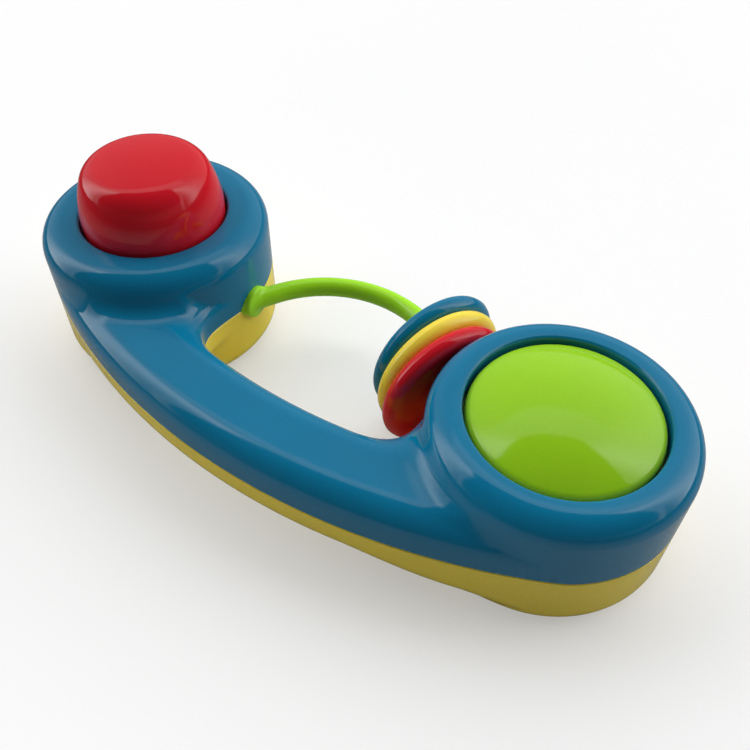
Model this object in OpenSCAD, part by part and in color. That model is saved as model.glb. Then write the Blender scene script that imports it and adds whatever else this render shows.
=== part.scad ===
// Toy telephone handset: two round heads on a curved handle, each with a push button,
// and a bent grab rod between the heads that carries three loose discs.

/* [Body] */
// Distance between the centres of the two heads
head_spacing = 100; // [99:0.5:101]
// Diameter of each head
head_d = 49.6; // [49:0.2:51]
// Overall thickness of the body
body_h = 32; // [31.8:0.2:33]
// Rounding of the heads' rims
head_edge_r = 5; // [3:0.5:5.5]
// Width of the handle
handle_w = 16.8; // [16.4:0.2:18]
// Thickness of the handle
handle_h = 18; // [17:0.2:19]
// Rounding of the handle's edges
handle_edge_r = 5; // [3:0.2:5.4]
// How far the handle's outer edge lies below the line through the head centres
handle_drop = 36.4; // [36:0.2:38]
// Wall thickness of the shells
wall = 2; // [1.8:0.1:2.2]

/* [Buttons] */
// Diameter of the red button where it leaves its well
red_d = 31.3; // [31:0.1:31.5]
// Height of the red button's crown above the head
red_rise = 13.2; // [11:0.2:14]
// How far the red button goes down
red_travel = 4; // [2:0.5:4]
// Diameter of the green button
green_d = 35.6; // [35:0.1:35.8]
// Height of the green button's crown above the head
green_rise = 4; // [3:0.2:5]
// How far the green button goes down
green_travel = 3; // [1.5:0.5:3]
// Radial gap around each button
button_gap = 0.45; // [0.4:0.05:0.5]

/* [Grab rod and discs] */
// Diameter of the grab rod
rod_d = 4.3; // [4:0.1:4.4]
// Radius of the rod's bend
rod_bend_r = 26.1; // [26:0.1:26.2]
// Diameter of each disc
disc_d = 30; // [29:0.2:30]
// Thickness of each disc
disc_t = 3.9; // [3.5:0.1:3.9]
// Diameter of the hole in each disc
disc_hole_d = 10; // [9.8:0.1:10.4]

/* [Hidden] */
$fn = 96;

teal = [0.10, 0.45, 0.60];
yellow = [0.90, 0.78, 0.15];
red = [0.75, 0.08, 0.12];
green = [0.50, 0.80, 0.15];
steel = [0.75, 0.75, 0.78];
board_green = [0.10, 0.40, 0.22];
black = [0.10, 0.10, 0.11];
paper = [0.30, 0.28, 0.26];
cream = [0.90, 0.88, 0.80];

tall = 100;
touch = 0.05;

// Discs: stacked side by side and tilted against the green button's head.
// Places are measured from the point halfway between the head centres.
disc_r = disc_d / 2;
disc_gap = 0.3;
disc_pitch = disc_t + disc_gap;
disc_side_step = 1.7;
disc_turn = 158;
disc_lean = 3.5;
disc_hole_edge_r = 1.2;
red_disc_place = [22.5, 6.3];
disc_face_dir = [cos(disc_turn), sin(disc_turn)];
disc_side_dir = [sin(disc_turn), -cos(disc_turn)];
disc_step = disc_pitch * disc_face_dir + disc_side_step * disc_side_dir;
disc_z = disc_r + disc_gap;
disc_reach = red_disc_place[1] + 2 * disc_step[1] + (disc_r - disc_t / 2) * disc_side_dir[1] + disc_t / 2;

// Body. The handle's outer edge is an arc that runs tangent into both heads, and head_y
// puts the middle of the whole outline at y = 0.
mid_z = body_h / 2;
head_r = head_d / 2;
half_span = head_spacing / 2;
head_y = (handle_drop - disc_reach) / 2;
arc_r = (pow(half_span, 2) + pow(handle_drop, 2) - pow(head_r, 2)) / (2 * (handle_drop - head_r));
arc_y = head_y + arc_r - handle_drop;
arc_mid_r = arc_r - handle_w / 2;
arc_half_angle = atan(half_span / (arc_r - handle_drop));
handle_bottom = mid_z - handle_h / 2;
handle_top = mid_z + handle_h / 2;

// Wells and buttons
red_r = red_d / 2;
green_r = green_d / 2;
red_sag = 2.1;
green_sag = 5.2;
red_shoulder_r = 5;
green_shoulder_r = 2.3;
red_side_r = 24;
green_side_r = 400;
button_wall = 1.8;
collar_wall = 1.6;
collar_bottom = body_h - 6;
stop_gap = 0.3;
stop_t = 1.4;
stop_top = collar_bottom - stop_gap;
stop_bottom = stop_top - stop_t;
red_stop_r = 17.5;
lug_r = 19.6;
lug_w = 10;
plunger_r = 2.6;
rib_t = 1.2;

// Grab rod: a bend with a straight stub at each end that passes through the head's wall
rod_r = rod_d / 2;
rod_y = head_y - 5.8;
rod_bend_half_angle = 60;
stub_len = 13.8;
stub_step = 0.02;
anchor_back = 1.3;
anchor_r = 1.3;
anchor_h = 10;
tunnel_gap = 0.1;
collar_base_r = 3.6;
collar_rise = 1.6;
// Where a stub meets the outside of the head's wall: its distance from the end of the bend,
// and the angle between the stub and the wall's normal there
stub_dir = [cos(rod_bend_half_angle), -sin(rod_bend_half_angle)];
end_to_head = [half_span - rod_bend_r * sin(rod_bend_half_angle),
    head_y - rod_y - rod_bend_r * cos(rod_bend_half_angle)];
end_to_nearest = end_to_head * stub_dir;
half_chord = sqrt(pow(end_to_nearest, 2) - end_to_head * end_to_head + pow(head_r, 2));
stub_to_wall = end_to_nearest - half_chord;
stub_wall_angle = acos(half_chord / head_r);

// Screws and their bosses
screw_shank_r = 1.1;
screw_head_r = 2.2;
screw_head_h = 1.6;
screw_hole_r = 1.5;
screw_bore_r = 2.5;
pilot_r = 1.15;
front_boss_r = 2.3;
rear_boss_r = 3.1;
tip_screw_x = half_span + 20.2;
head_screw_seat = 8;
head_screw_len = 13;
handle_screw_seat = handle_bottom + 3;
handle_screw_len = 10;
side_screw_angle = 13.6;
head_screw_places = [for (side = [-1, 1]) [side * tip_screw_x, head_y]];
handle_screw_places = [for (a = [-side_screw_angle, 0, side_screw_angle])
    [arc_mid_r * sin(a), arc_y - arc_mid_r * cos(a)]];
small_head_r = 1.7;
small_head_h = 1.2;
small_shank_r = 0.8;
small_pilot_r = 0.85;
small_hole_r = 1.1;
small_screw_len = 5;
post_r = 2;

// Main board and speaker, in the red button's head
board_t = 1.2;
board_r = 17;
board_bottom = 9.2;
board_top = board_bottom + board_t;
board_post_r = 14.6;
board_post_angles = [30, 150, 270];
speaker_r = 12.4;
speaker_rim_t = 1.4;
speaker_depth = 3.6;
speaker_back_r = 7.6;
speaker_mouth_r = 11;
magnet_r = 6.4;
magnet_h = 3;
cone_t = 0.4;
grille_hole_r = 0.9;

// Switches
switch_w = 6;
switch_h = 3.4;
switch_pin_r = 1.7;
switch_pin_h = 0.9;
switch_total_h = switch_h + switch_pin_h;
plunger_gap = 0.3;

// Battery box and switch board, in the green button's head
cell_r = 5.8;
cell_len = 5.4;
cell_cap_r = 4.4;
cell_cap_len = 0.4;
cell_count = 3;
cell_z = wall + 0.4 + cell_r;
box_half_x = 9.8;
box_half_y = 6.2;
box_wall = 1.2;
box_top = cell_z + cell_r + 0.3;
contact_t = 0.4;
contact_w = 9;
tab_w = 3;
tab_top = 17;
cells_end_x = box_half_x - 2 * contact_t;
cells_start_x = cells_end_x - cell_count * cell_len;
switch_board_bottom = 16;
switch_board_top = switch_board_bottom + board_t;
switch_board_w = 15;
switch_board_l = 27;
switch_board_post_y = 10.8;
door_x0 = -16.6;
door_x1 = 12.4;
door_half_y = 8;
door_t = 1.1;
door_gap = 0.2;
door_recess = door_t + 0.1;
door_screw_x = -13.8;
door_screw_seat = 1.9;
door_screw_len = 6;
door_cup_r = 3;
door_cup_top = 2.8;
door_boss_top = 10;
tongue_half_y = 3;
tongue_len = 1.6;
tongue_z = 0.7;
tongue_t = 0.8;
tongue_root = 1;

// Springs
spring_mean_r = 5.6;
spring_wire_r = 0.4;
red_rib_bottom = 25;
green_rib_bottom = 26.2;

// Wires: each runs from the main board, along one side of the handle, to the green head
wire_r = 0.6;
wire_side = 4.9;
wire_low_z = 12.8;
wire_high_z = 14.6;
wire_arc_angle = 14;
wire_arc_step = 2;

module at_red_head() { translate([-half_span, head_y, 0]) children(); }
module at_green_head() { translate([half_span, head_y, 0]) children(); }

// Outline of a round block with rounded rims, from its axis outwards
module rim_outline(r, h, e) {
    square([r - e, h]);
    translate([0, e]) square([r, h - 2 * e]);
    translate([r - e, e]) circle(e);
    translate([r - e, h - e]) circle(e);
}

// Rectangle with rounded corners about its centre
module soft_rectangle(w, h, e) {
    square([w - 2 * e, h], center = true);
    square([w, h - 2 * e], center = true);
    for (sx = [-1, 1], sy = [-1, 1])
        translate([sx * (w / 2 - e), sy * (h / 2 - e)]) circle(e);
}

module head_block(inset) {
    translate([0, 0, inset])
        rotate_extrude() rim_outline(head_r - inset, body_h - 2 * inset, head_edge_r - inset);
}

module handle_block(inset) {
    translate([0, arc_y, mid_z])
        rotate([0, 0, -90 - arc_half_angle])
            rotate_extrude(angle = 2 * arc_half_angle)
                translate([arc_mid_r, 0])
                    soft_rectangle(handle_w - 2 * inset, handle_h - 2 * inset, handle_edge_r - inset);
}

// The whole body, or with an inset the hollow inside it
module body_block(inset) {
    at_red_head() head_block(inset);
    at_green_head() head_block(inset);
    handle_block(inset);
}

module upper_space() { translate([-tall, -tall, mid_z]) cube([2 * tall, 2 * tall, tall]); }
module lower_space() { translate([-tall, -tall, mid_z - tall]) cube([2 * tall, 2 * tall, tall]); }

// The rod's centre line swept with a circle of radius r: its bend and its two stubs
module rod_sweep(r, stub) {
    translate([0, rod_y, mid_z]) {
        rotate([0, 0, 90 - rod_bend_half_angle])
            rotate_extrude(angle = 2 * rod_bend_half_angle) translate([rod_bend_r, 0]) circle(r);
        for (side = [-1, 1]) at_rod_end(side) translate([0, 0, -1]) cylinder(r = r - stub_step, h = stub + 1);
    }
}

// Puts +Z along the stub that leaves the bend on one side
module at_rod_end(side) {
    a = 90 - side * rod_bend_half_angle;
    translate([rod_bend_r * cos(a), rod_bend_r * sin(a), 0])
        rotate([0, 0, a - side * 90]) rotate([0, 90, 0]) children();
}

// Crown of a button as a half outline: straight skirt, a side that curves in above the head's top,
// rounded shoulder of radius e, domed top. An inset gives the hollow under it.
function dome_r(r, sag) = (r * r + sag * sag) / (2 * sag);
// Centre of the shoulder, which touches the side's arc and the dome from inside
function shoulder_centre(r, rise, sag, e, side_r) =
    let (
        side_centre = [r - side_r, 0],
        between = [0, rise - dome_r(r, sag)] - side_centre,
        span = norm(between),
        along = (pow(side_r - e, 2) - pow(dome_r(r, sag) - e, 2) + span * span) / (2 * span),
        across = sqrt(pow(side_r - e, 2) - along * along)
    )
    side_centre + (along * between + across * [-between[1], between[0]]) / span;
function crown_outline(r, rise, sag, e, side_r, inset, base) =
    let (
        big = dome_r(r, sag),
        centre = rise - big,
        q = shoulder_centre(r, rise, sag, e, side_r),
        a0 = atan2(q[1], q[0] - r + side_r),
        a1 = atan2(q[1] - centre, q[0]),
        steps = 6
    )
    concat(
        [[0, base], [r - inset, base], [r - inset, min(0, q[1] + (e - inset) * sin(a0)) - touch]],
        [for (i = [0:steps - 1]) let (a = a0 * i / steps) if (a0 > 0)
            [r - side_r + (side_r - inset) * cos(a), (side_r - inset) * sin(a)]],
        [for (i = [0:steps]) let (a = a0 + (a1 - a0) * i / steps)
            [q[0] + (e - inset) * cos(a), q[1] + (e - inset) * sin(a)]],
        [for (i = [1:steps]) let (a = a1 + (90 - a1) * i / steps)
            [i == steps ? 0 : (big - inset) * cos(a), centre + (big - inset) * sin(a)]]
    );
module crown(r, rise, sag, e, side_r, inset, base) {
    translate([0, 0, body_h])
        rotate_extrude() polygon(crown_outline(r, rise, sag, e, side_r, inset, base - body_h));
}

module ring(r_in, r_out, z0, z1) {
    translate([0, 0, z0]) difference() {
        cylinder(r = r_out, h = z1 - z0);
        translate([0, 0, -1]) cylinder(r = r_in, h = z1 - z0 + 2);
    }
}

// Inside of a button: the plunger that presses its switch, and the ribs that its spring pushes on
module plunger_and_ribs(plunger_bottom, rib_bottom) {
    translate([0, 0, plunger_bottom]) cylinder(r = plunger_r, h = tall);
    for (a = [0, 90]) rotate([0, 0, a])
        translate([-tall / 2, -rib_t / 2, rib_bottom]) cube([tall, rib_t, tall]);
}

// Screw standing head down with its seat at z = 0
module screw(hr, hh, sr, len) {
    slot_w = hr * 0.3;
    difference() {
        union() {
            translate([0, 0, -hh]) cylinder(r = hr, h = hh);
            cylinder(r = sr, h = len - sr);
            translate([0, 0, len - sr]) cylinder(r1 = sr, r2 = sr * 0.3, h = sr);
        }
        for (a = [0, 90]) rotate([0, 0, a])
            translate([-hr * 0.65, -slot_w / 2, -hh - 1]) cube([hr * 1.3, slot_w, 1 + hh * 0.6]);
    }
}

// Tube of radius r along a list of points, with flat ends
module tube_along(path, r, sides) {
    n = len(path);
    rings = [for (i = [0:n - 1]) let (
            ahead = path[min(i + 1, n - 1)] - path[max(i - 1, 0)],
            t = ahead / norm(ahead),
            flat = cross(t, [0, 0, 1]),
            u = flat / norm(flat),
            v = cross(u, t)
        )
        for (j = [0:sides - 1]) path[i] + r * (cos(360 * j / sides) * u + sin(360 * j / sides) * v)];
    polyhedron(
        points = rings,
        faces = concat(
            [[for (j = [sides - 1:-1:0]) j]],
            [[for (j = [0:sides - 1]) (n - 1) * sides + j]],
            [for (i = [0:n - 2], j = [0:sides - 1]) let (k = (j + 1) % sides)
                [i * sides + j, i * sides + k, (i + 1) * sides + k, (i + 1) * sides + j]]
        ),
        convexity = 8
    );
}

// Coil spring from z0 to z1 with closed ends; its radius goes from r0 at the bottom to r1 at the top
module coil(z0, z1, r0, r1, turns, wire) {
    per_turn = 18;
    dead = 0.9;
    low = z0 + wire + touch;
    high = z1 - wire - touch;
    dead_rise = 2.05 * wire * dead;
    tube_along([for (i = [0:turns * per_turn]) let (
            u = i / per_turn,
            z = u < dead ? low + dead_rise * u / dead
                : u > turns - dead ? high - dead_rise * (turns - u) / dead
                : low + dead_rise + (high - low - 2 * dead_rise) * (u - dead) / (turns - 2 * dead),
            r = r0 + (r1 - r0) * u / turns
        )
        [r * cos(360 * u), r * sin(360 * u), z]], wire, 8);
}

module tact_switch() {
    leg = 0.8;
    translate([-switch_w / 2, -switch_w / 2, 0]) cube([switch_w, switch_w, switch_h]);
    translate([0, 0, switch_h]) cylinder(r = switch_pin_r, h = switch_pin_h);
    for (sx = [-1, 1], sy = [-1, 1])
        translate([sx * (switch_w / 2 + leg / 2) - leg / 2, sy * switch_w / 3 - leg / 2, 0])
            cube([leg, leg, leg / 2]);
}

module front_shell() {
    color(teal) difference() {
        union() {
            difference() {
                intersection() {
                    body_block(0);
                    upper_space();
                }
                body_block(wall);
            }
            at_red_head() ring(red_r, red_r + button_gap + collar_wall, collar_bottom, body_h - 1);
            at_green_head() ring(green_r, green_r + button_gap + collar_wall, collar_bottom, body_h - 1);
            for (p = head_screw_places)
                translate([p[0], p[1], mid_z]) cylinder(r = front_boss_r, h = body_h - 3 - mid_z);
            for (p = handle_screw_places)
                translate([p[0], p[1], mid_z]) cylinder(r = front_boss_r, h = handle_top - 1 - mid_z);
        }
        at_red_head() translate([0, 0, mid_z]) cylinder(r = red_r + button_gap, h = tall);
        at_green_head() translate([0, 0, mid_z]) cylinder(r = green_r + button_gap, h = tall);
        for (p = concat(head_screw_places, handle_screw_places))
            translate([p[0], p[1], mid_z - 1]) cylinder(r = pilot_r, h = 7);
        rod_sweep(rod_r + tunnel_gap, stub_len + 0.5);
    }
}

module grille_holes() {
    for (ring_i = [0:3], i = [0:max(1, ring_i * 6) - 1])
        rotate([0, 0, i * 60 / max(1, ring_i)])
            translate([ring_i * 3, 0, -1]) cylinder(r = grille_hole_r, h = wall + 2);
}

module screw_bore(seat, shank_r) {
    translate([0, 0, -1]) cylinder(r = screw_bore_r, h = seat + 1);
    cylinder(r = shank_r, h = mid_z + 1);
}

module battery_box() {
    difference() {
        translate([-box_half_x - box_wall, -box_half_y - box_wall, wall / 2])
            cube([2 * (box_half_x + box_wall), 2 * (box_half_y + box_wall), box_top + box_wall - wall / 2]);
        translate([-box_half_x, -box_half_y, -1])
            cube([2 * box_half_x, 2 * box_half_y, box_top + 1]);
    }
}

module rear_shell() {
    color(yellow) difference() {
        union() {
            difference() {
                intersection() {
                    body_block(0);
                    lower_space();
                }
                body_block(wall);
            }
            at_red_head() {
                ring(speaker_r + touch, speaker_r + 1, wall / 2, wall + 2);
                for (a = board_post_angles) rotate([0, 0, a])
                    translate([board_post_r, 0, wall / 2]) cylinder(r = post_r, h = board_bottom - wall / 2);
            }
            at_green_head() {
                battery_box();
                for (side = [-1, 1]) translate([0, side * switch_board_post_y, wall / 2])
                    cylinder(r = post_r, h = switch_board_bottom - wall / 2);
                translate([door_screw_x, 0, wall / 2]) cylinder(r = door_cup_r + 1, h = door_boss_top - wall / 2);
            }
            for (p = head_screw_places) translate([p[0], p[1], wall]) cylinder(r = rear_boss_r, h = mid_z - wall);
            for (p = handle_screw_places)
                translate([p[0], p[1], handle_bottom + 1])
                    cylinder(r = rear_boss_r, h = mid_z - handle_bottom - 1);
        }
        for (p = head_screw_places) translate([p[0], p[1], 0]) screw_bore(head_screw_seat, screw_hole_r);
        for (p = handle_screw_places) translate([p[0], p[1], 0]) screw_bore(handle_screw_seat, screw_hole_r);
        at_red_head() {
            grille_holes();
            for (a = board_post_angles) rotate([0, 0, a])
                translate([board_post_r, 0, board_bottom - small_screw_len]) cylinder(r = small_pilot_r, h = tall / 10);
        }
        at_green_head() {
            translate([-box_half_x, -box_half_y, -1]) cube([2 * box_half_x, 2 * box_half_y, box_top + 1]);
            for (side = [-1, 1]) {
                translate([0, side * switch_board_post_y, switch_board_bottom - small_screw_len])
                    cylinder(r = small_pilot_r, h = tall / 10);
                translate([side * (box_half_x - contact_t / 2) - contact_t, -tab_w / 2 - 0.2, box_top - 1])
                    cube([2 * contact_t, tab_w + 0.4, tall / 10]);
            }
            translate([door_x0 - door_gap, -door_half_y - door_gap, -1])
                cube([door_x1 - door_x0 + 2 * door_gap, 2 * (door_half_y + door_gap), door_recess + 1]);
            translate([door_x1 - tongue_root - door_gap, -tongue_half_y - door_gap, tongue_z - 0.1])
                cube([tongue_root + tongue_len + 2 * door_gap, 2 * (tongue_half_y + door_gap), tongue_t + 0.2]);
            translate([door_screw_x, 0, 0]) cylinder(r = door_cup_r + door_gap, h = door_cup_top + 0.1);
            translate([door_screw_x, 0, 0]) cylinder(r = pilot_r, h = door_screw_seat + door_screw_len + 0.5);
        }
        rod_sweep(rod_r + tunnel_gap, stub_len + 0.5);
    }
}

module red_button() {
    plunger_bottom = board_top + switch_total_h + plunger_gap + red_travel;
    color(red) at_red_head() {
        difference() {
            crown(red_r, red_rise, red_sag, red_shoulder_r, red_side_r, 0, stop_bottom);
            crown(red_r, red_rise, red_sag, red_shoulder_r, red_side_r, button_wall, stop_bottom - 1);
        }
        ring(red_r - 1, red_stop_r, stop_bottom, stop_top);
        intersection() {
            plunger_and_ribs(plunger_bottom, red_rib_bottom);
            crown(red_r, red_rise, red_sag, red_shoulder_r, red_side_r, button_wall / 2, 0);
        }
    }
}

module red_button_spring() {
    color(steel) at_red_head()
        coil(board_top, red_rib_bottom, spring_mean_r, spring_mean_r, 7, spring_wire_r);
}

module green_button() {
    plunger_bottom = switch_board_top + switch_total_h + plunger_gap + green_travel;
    color(green) at_green_head() {
        difference() {
            crown(green_r, green_rise, green_sag, green_shoulder_r, green_side_r, 0, stop_bottom);
            crown(green_r, green_rise, green_sag, green_shoulder_r, green_side_r, button_wall, stop_bottom - 1);
        }
        for (a = [60, 180, 300]) intersection() {
            ring(green_r - 1, lug_r, stop_bottom, stop_top);
            rotate([0, 0, a]) translate([0, -lug_w / 2, 0]) cube([tall, lug_w, tall]);
        }
        intersection() {
            plunger_and_ribs(plunger_bottom, green_rib_bottom);
            crown(green_r, green_rise, green_sag, green_shoulder_r, green_side_r, button_wall / 2, 0);
        }
    }
}

module green_button_spring() {
    color(steel) at_green_head()
        coil(switch_board_top, green_rib_bottom, spring_mean_r, spring_mean_r, 5, spring_wire_r);
}

// A flared collar lies flush on each head's wall, and a cross bar inside holds each end
module grab_rod() {
    color(green) {
        rod_sweep(rod_r, stub_len);
        translate([0, rod_y, mid_z]) for (side = [-1, 1]) at_rod_end(side)
            translate([0, 0, stub_len - anchor_back]) rotate([0, 90, 0])
                cylinder(r = anchor_r, h = anchor_h, center = true);
        for (side = [-1, 1]) difference() {
            translate([0, rod_y, mid_z]) at_rod_end(side) translate([0, 0, stub_to_wall])
                rotate([-side * stub_wall_angle, 0, 0]) translate([0, 0, -collar_rise])
                    cylinder(r1 = rod_r + 0.3, r2 = collar_base_r, h = collar_rise + 1);
            translate([side * half_span, head_y, 0]) cylinder(r = head_r, h = body_h);
        }
    }
}

module disc(index, paint) {
    place = red_disc_place + index * disc_step;
    rim_r = disc_r - disc_t / 2;
    hole_r = disc_hole_d / 2;
    e = disc_hole_edge_r;
    color(paint) translate([place[0], head_y + place[1], disc_z])
        rotate([0, 90 - disc_lean, disc_turn]) rotate_extrude() {
            translate([hole_r + e, -disc_t / 2]) square([rim_r - hole_r - e, disc_t]);
            translate([hole_r, e - disc_t / 2]) square([rim_r - hole_r, disc_t - 2 * e]);
            translate([rim_r, 0]) circle(disc_t / 2);
            for (s = [-1, 1]) translate([hole_r + e, s * (disc_t / 2 - e)]) circle(e);
        }
}

module blue_disc() { disc(2, teal); }
module yellow_disc() { disc(1, yellow); }
module red_disc() { disc(0, red); }

module main_board() {
    color(board_green) at_red_head() translate([0, 0, board_bottom]) difference() {
        cylinder(r = board_r, h = board_t);
        for (a = board_post_angles) rotate([0, 0, a])
            translate([board_post_r, 0, -1]) cylinder(r = small_hole_r, h = board_t + 2);
    }
}

module main_board_screws() {
    color(steel) at_red_head() for (a = board_post_angles) rotate([0, 0, a])
        translate([board_post_r, 0, board_top]) mirror([0, 0, 1])
            screw(small_head_r, small_head_h, small_shank_r, small_screw_len);
}

module sound_chip() {
    chip_r = 3.4;
    chip_h = 1.2;
    ball_r = dome_r(chip_r, chip_h);
    color(black) at_red_head() rotate([0, 0, 205]) translate([10, 0, board_top]) intersection() {
        translate([0, 0, chip_h - ball_r]) sphere(ball_r);
        cylinder(r = chip_r + 1, h = chip_h + 1);
    }
}

module board_components() {
    can_r = 2;
    can_h = 5;
    chip = [2, 1.2, 0.6];
    color(black) at_red_head() {
        rotate([0, 0, 335]) translate([10.5, 0, board_top]) cylinder(r = can_r, h = can_h);
        for (a = [60, 80, 100]) rotate([0, 0, a])
            translate([10.5 - chip[0] / 2, -chip[1] / 2, board_top]) cube(chip);
    }
}

module red_button_switch() {
    color(black) at_red_head() translate([0, 0, board_top]) tact_switch();
}

module speaker_frame() {
    color(steel) at_red_head() translate([0, 0, wall]) difference() {
        union() {
            cylinder(r = speaker_r, h = speaker_rim_t);
            translate([0, 0, speaker_rim_t])
                cylinder(r1 = speaker_r - 0.4, r2 = speaker_back_r, h = speaker_depth - speaker_rim_t);
        }
        translate([0, 0, -1]) cylinder(r = speaker_mouth_r, h = 1 + 0.6);
        translate([0, 0, 0.6 - touch]) cylinder(r1 = speaker_mouth_r, r2 = speaker_back_r - 2, h = speaker_depth - 1.4);
        for (a = [45:90:315]) rotate([0, 0, a]) translate([9, 0, 1]) cylinder(r = 1.2, h = speaker_depth);
    }
}

module speaker_cone() {
    cone_h = 1.6;
    cap_r = 3.4;
    color(paper) at_red_head() translate([0, 0, wall]) {
        difference() {
            cylinder(r = speaker_mouth_r - touch, h = cone_t);
            translate([0, 0, -1]) cylinder(r = speaker_mouth_r - 1.4, h = cone_t + 2);
        }
        difference() {
            cylinder(r1 = speaker_mouth_r - 1.2, r2 = cap_r, h = cone_h);
            translate([0, 0, -cone_t]) cylinder(r1 = speaker_mouth_r - 1.2, r2 = cap_r, h = cone_h);
        }
        translate([0, 0, cone_h - cone_t]) cylinder(r = cap_r, h = cone_t);
    }
}

module speaker_magnet() {
    color(black) at_red_head() translate([0, 0, wall + speaker_depth]) cylinder(r = magnet_r, h = magnet_h);
}

module switch_board() {
    color(board_green) at_green_head() translate([0, 0, switch_board_bottom]) difference() {
        translate([-switch_board_w / 2, -switch_board_l / 2, 0]) cube([switch_board_w, switch_board_l, board_t]);
        for (side = [-1, 1]) translate([0, side * switch_board_post_y, -1])
            cylinder(r = small_hole_r, h = board_t + 2);
    }
}

module switch_board_screws() {
    color(steel) at_green_head() for (side = [-1, 1])
        translate([0, side * switch_board_post_y, switch_board_top]) mirror([0, 0, 1])
            screw(small_head_r, small_head_h, small_shank_r, small_screw_len);
}

module green_button_switch() {
    color(black) at_green_head() translate([0, 0, switch_board_top]) tact_switch();
}

module battery_cells() {
    color(steel) at_green_head() for (i = [0:cell_count - 1])
        translate([cells_start_x + i * cell_len, 0, cell_z]) rotate([0, 90, 0]) {
            translate([0, 0, touch]) cylinder(r = cell_cap_r, h = cell_cap_len);
            translate([0, 0, cell_cap_len]) cylinder(r = cell_r, h = cell_len - cell_cap_len);
        }
}

// Plate at one end of the battery box with a solder tab that stands out of the box's roof
module contact_plate(x) {
    translate([x, -contact_w / 2, cell_z - contact_w / 2]) cube([contact_t, contact_w, contact_w]);
    translate([x, -tab_w / 2, cell_z]) cube([contact_t, tab_w, tab_top - cell_z]);
}

module positive_contact() {
    color(steel) at_green_head() {
        contact_plate(box_half_x - contact_t);
        translate([cells_end_x + touch, 0, cell_z]) rotate([0, 90, 0]) cylinder(r = 1.5, h = contact_t);
    }
}

module negative_contact() {
    color(steel) at_green_head() {
        contact_plate(-box_half_x);
        translate([-box_half_x + contact_t, 0, cell_z]) rotate([0, 90, 0])
            coil(0, cells_start_x + box_half_x - contact_t, 3.6, 1.8, 3, 0.25);
    }
}

module battery_door() {
    grip_w = 1;
    color(yellow) at_green_head() difference() {
        union() {
            translate([door_x0, -door_half_y, 0]) cube([door_x1 - door_x0, 2 * door_half_y, door_t]);
            translate([door_screw_x, 0, 0]) cylinder(r = door_cup_r, h = door_cup_top);
            translate([door_x1 - tongue_root, -tongue_half_y, tongue_z])
                cube([tongue_root + tongue_len, 2 * tongue_half_y, tongue_t]);
        }
        translate([door_screw_x, 0, -1]) cylinder(r = screw_bore_r - 0.3, h = 1 + door_screw_seat);
        translate([door_screw_x, 0, 0]) cylinder(r = screw_hole_r - 0.1, h = tall);
        for (i = [0:3]) translate([4 + i * 2 * grip_w, -5, -1]) cube([grip_w, 10, 1.4]);
    }
}

module battery_door_screw() {
    color(steel) at_green_head() translate([door_screw_x, 0, door_screw_seat])
        screw(screw_head_r - 0.2, screw_head_h - 0.3, screw_shank_r, door_screw_len);
}

module head_screws() {
    color(steel) for (p = head_screw_places) translate([p[0], p[1], head_screw_seat])
        screw(screw_head_r, screw_head_h, screw_shank_r, head_screw_len);
}

module handle_screws() {
    color(steel) for (p = handle_screw_places) translate([p[0], p[1], handle_screw_seat])
        screw(screw_head_r, screw_head_h, screw_shank_r, handle_screw_len);
}

// Points along one side of the handle, at height z
function handle_run(side, z) = [for (a = [-wire_arc_angle:wire_arc_step:wire_arc_angle])
    [(arc_mid_r + side) * sin(a), arc_y - head_y - (arc_mid_r + side) * cos(a), z]];
function raise(path) = [for (p = path) p + [0, head_y, 0]];

module battery_wires() {
    color(red) tube_along(raise(concat(
        [[-41.5, -11.5, 11.1], [-39.5, -14, 12], [-37, -17, wire_low_z]],
        handle_run(-wire_side, wire_low_z),
        [[37, -17, wire_low_z], [38.5, -13, 14.4], [39.8, -9, 16.4], [40.2, -1.6, 16.6]])), wire_r, 8);
    color(black) tube_along(raise(concat(
        [[-39.5, -9.5, 11.1], [-37.6, -13.2, 13.3], [-36.2, -17.6, wire_high_z]],
        handle_run(-wire_side, wire_high_z),
        [[37, -18, wire_high_z], [42, -16.6, 15], [50, -16.4, 15.2], [58.5, -15.2, 15.4],
            [60.8, -11, 16.2], [60.2, -7, 16.6], [59.6, -1.6, 16.6]])), wire_r, 8);
}

module switch_wires() {
    color(cream) tube_along(raise(concat(
        [[-43.5, -13, 11.1], [-42, -17, 12], [-39, -23, wire_low_z]],
        handle_run(wire_side, wire_low_z),
        [[39, -23, 13.5], [42.5, -18, 16], [45, -15, 17.6], [45.6, -12, 17.9]])), wire_r, 8);
    color(cream) tube_along(raise(concat(
        [[-45.5, -14, 11.1], [-45, -18, 13], [-41, -23.5, wire_high_z]],
        handle_run(wire_side, wire_high_z),
        [[41, -23, 15.6], [47, -19, 17.2], [52, -16.5, 18], [54.4, -12, 17.9]])), wire_r, 8);
}

module speaker_wires() {
    color(cream) at_red_head() for (a = [80, 100]) rotate([0, 0, a])
        tube_along([[9.4, 0, 6], [11, 0, 6.4], [13, 0.4, 7.4], [14.6, 1, 8.5]], 0.5, 8);
}

front_shell();
rear_shell();
red_button();
red_button_spring();
green_button();
green_button_spring();
grab_rod();
blue_disc();
yellow_disc();
red_disc();
main_board();
main_board_screws();
sound_chip();
board_components();
red_button_switch();
speaker_frame();
speaker_cone();
speaker_magnet();
switch_board();
switch_board_screws();
green_button_switch();
battery_cells();
positive_contact();
negative_contact();
battery_door();
battery_door_screw();
head_screws();
handle_screws();
battery_wires();
switch_wires();
speaker_wires();
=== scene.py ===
import math

import bpy
import numpy as np
from mathutils import Matrix, Vector
from mathutils.geometry import delaunay_2d_cdt


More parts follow.
